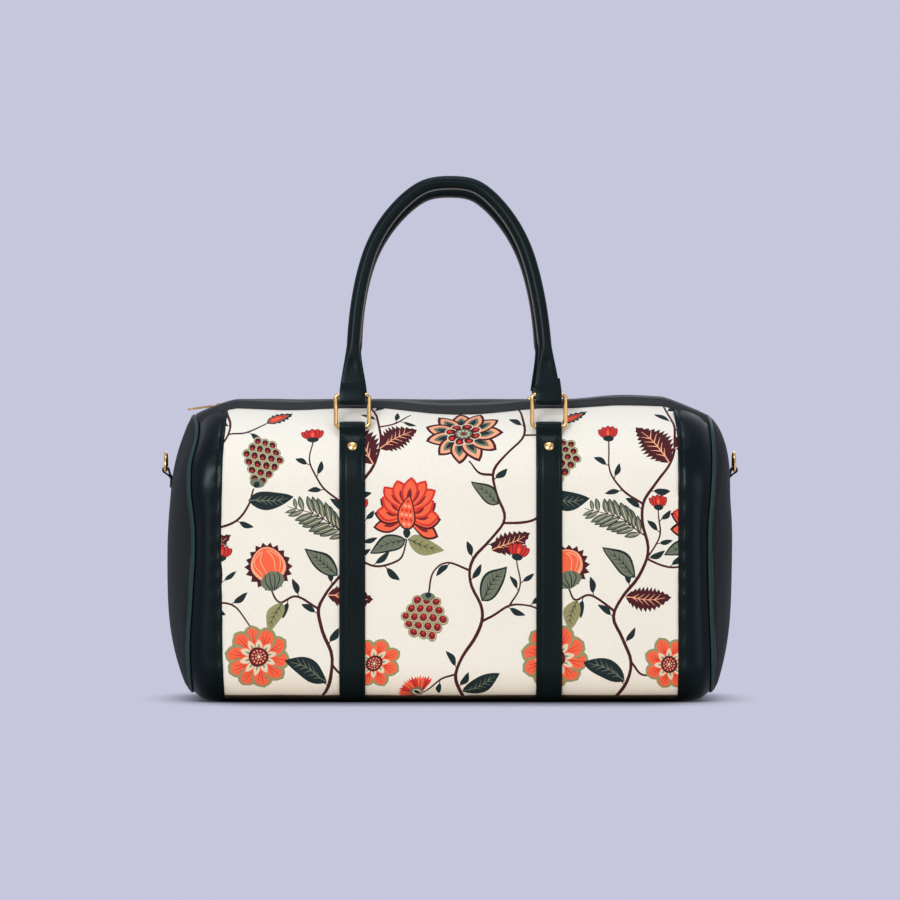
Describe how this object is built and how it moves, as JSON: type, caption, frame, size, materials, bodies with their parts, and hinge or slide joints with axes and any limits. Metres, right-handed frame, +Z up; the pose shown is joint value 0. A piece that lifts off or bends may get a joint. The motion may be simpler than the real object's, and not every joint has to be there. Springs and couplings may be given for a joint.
{
  "type": "travel bag",
  "caption": "Soft zip-top travel bag with a rounded printed canvas body, leather ends, straps under the base and upright rolled handles on metal rings.",
  "frame": {"origin": "middle of the footprint, on the floor under the straps", "axes": "+X along the bag to the viewer's right, -Y out of the front face, +Z up"},
  "size_m": [0.5232, 0.2302, 0.4703],
  "materials": {
    "printed_canvas": "woven, printed",
    "trim_leather": "satin",
    "piping_leather": "satin",
    "gold_metal": "polished",
    "lining_cloth": "plain weave",
    "zip_tape": "herringbone weave",
    "base_board": "matte"
  },
  "bodies": {
    "bag": {"front_panel": "printed_canvas", "back_panel": "printed_canvas", "base_panel": "trim_leather", "base_board": "base_board", "lining": "lining_cloth", "left_band": "trim_leather", "right_band": "trim_leather", "left_end_panel": "trim_leather", "right_end_panel": "trim_leather", "left_piping": "piping_leather", "right_piping": "piping_leather", "front_zip_facing": "trim_leather", "back_zip_facing": "trim_leather", "front_zip_tape": "zip_tape", "back_zip_tape": "zip_tape", "front_zip_teeth": "gold_metal", "back_zip_teeth": "gold_metal", "zip_stops": "gold_metal", "left_strap": "trim_leather", "right_strap": "trim_leather", "strap_rivets": "gold_metal", "left_d_tab": "trim_leather", "right_d_tab": "trim_leather"},
    "front_rings": {"front_left_ring": "gold_metal", "front_right_ring": "gold_metal"},
    "front_handle": {"front_handle": "trim_leather"},
    "back_rings": {"back_left_ring": "gold_metal", "back_right_ring": "gold_metal"},
    "back_handle": {"back_handle": "trim_leather"},
    "zip_slider": {"zip_slider": "gold_metal"},
    "zip_puller": {"zip_puller": "gold_metal"},
    "left_d_ring": {"left_d_ring": "gold_metal"},
    "right_d_ring": {"right_d_ring": "gold_metal"}
  },
  "joints": [
    {"name": "front_ring_swing", "type": "hinge", "parent": "bag", "child": "front_rings", "pos_m": [0, -0.09927, 0.24552], "axis": [1, 0, 0], "range_deg": [-15, 100]},
    {"name": "front_handle_swing", "type": "hinge", "parent": "front_rings", "child": "front_handle", "pos_m": [0, -0.09927, 0.27352], "axis": [1, 0, 0], "range_deg": [-2, 78]},
    {"name": "back_ring_swing", "type": "hinge", "parent": "bag", "child": "back_rings", "pos_m": [0, 0.09927, 0.24552], "axis": [-1, 0, 0], "range_deg": [-15, 100]},
    {"name": "back_handle_swing", "type": "hinge", "parent": "back_rings", "child": "back_handle", "pos_m": [0, 0.09927, 0.27352], "axis": [-1, 0, 0], "range_deg": [-2, 78]},
    {"name": "zip_slide", "type": "slide", "parent": "bag", "child": "zip_slider", "axis": [1, 0, 0], "range_m": [0, 0.4157]},
    {"name": "puller_flip", "type": "hinge", "parent": "zip_slider", "child": "zip_puller", "pos_m": [-0.2104, 0, 0.2658], "axis": [0, 1, 0], "range_deg": [0, 190]},
    {"name": "left_d_swing", "type": "hinge", "parent": "bag", "child": "left_d_ring", "pos_m": [-0.25791, 0, 0.207], "axis": [0, -1, 0], "range_deg": [-35, 150]},
    {"name": "right_d_swing", "type": "hinge", "parent": "bag", "child": "right_d_ring", "pos_m": [0.25791, 0, 0.207], "axis": [0, 1, 0], "range_deg": [-35, 150]}
  ]
}
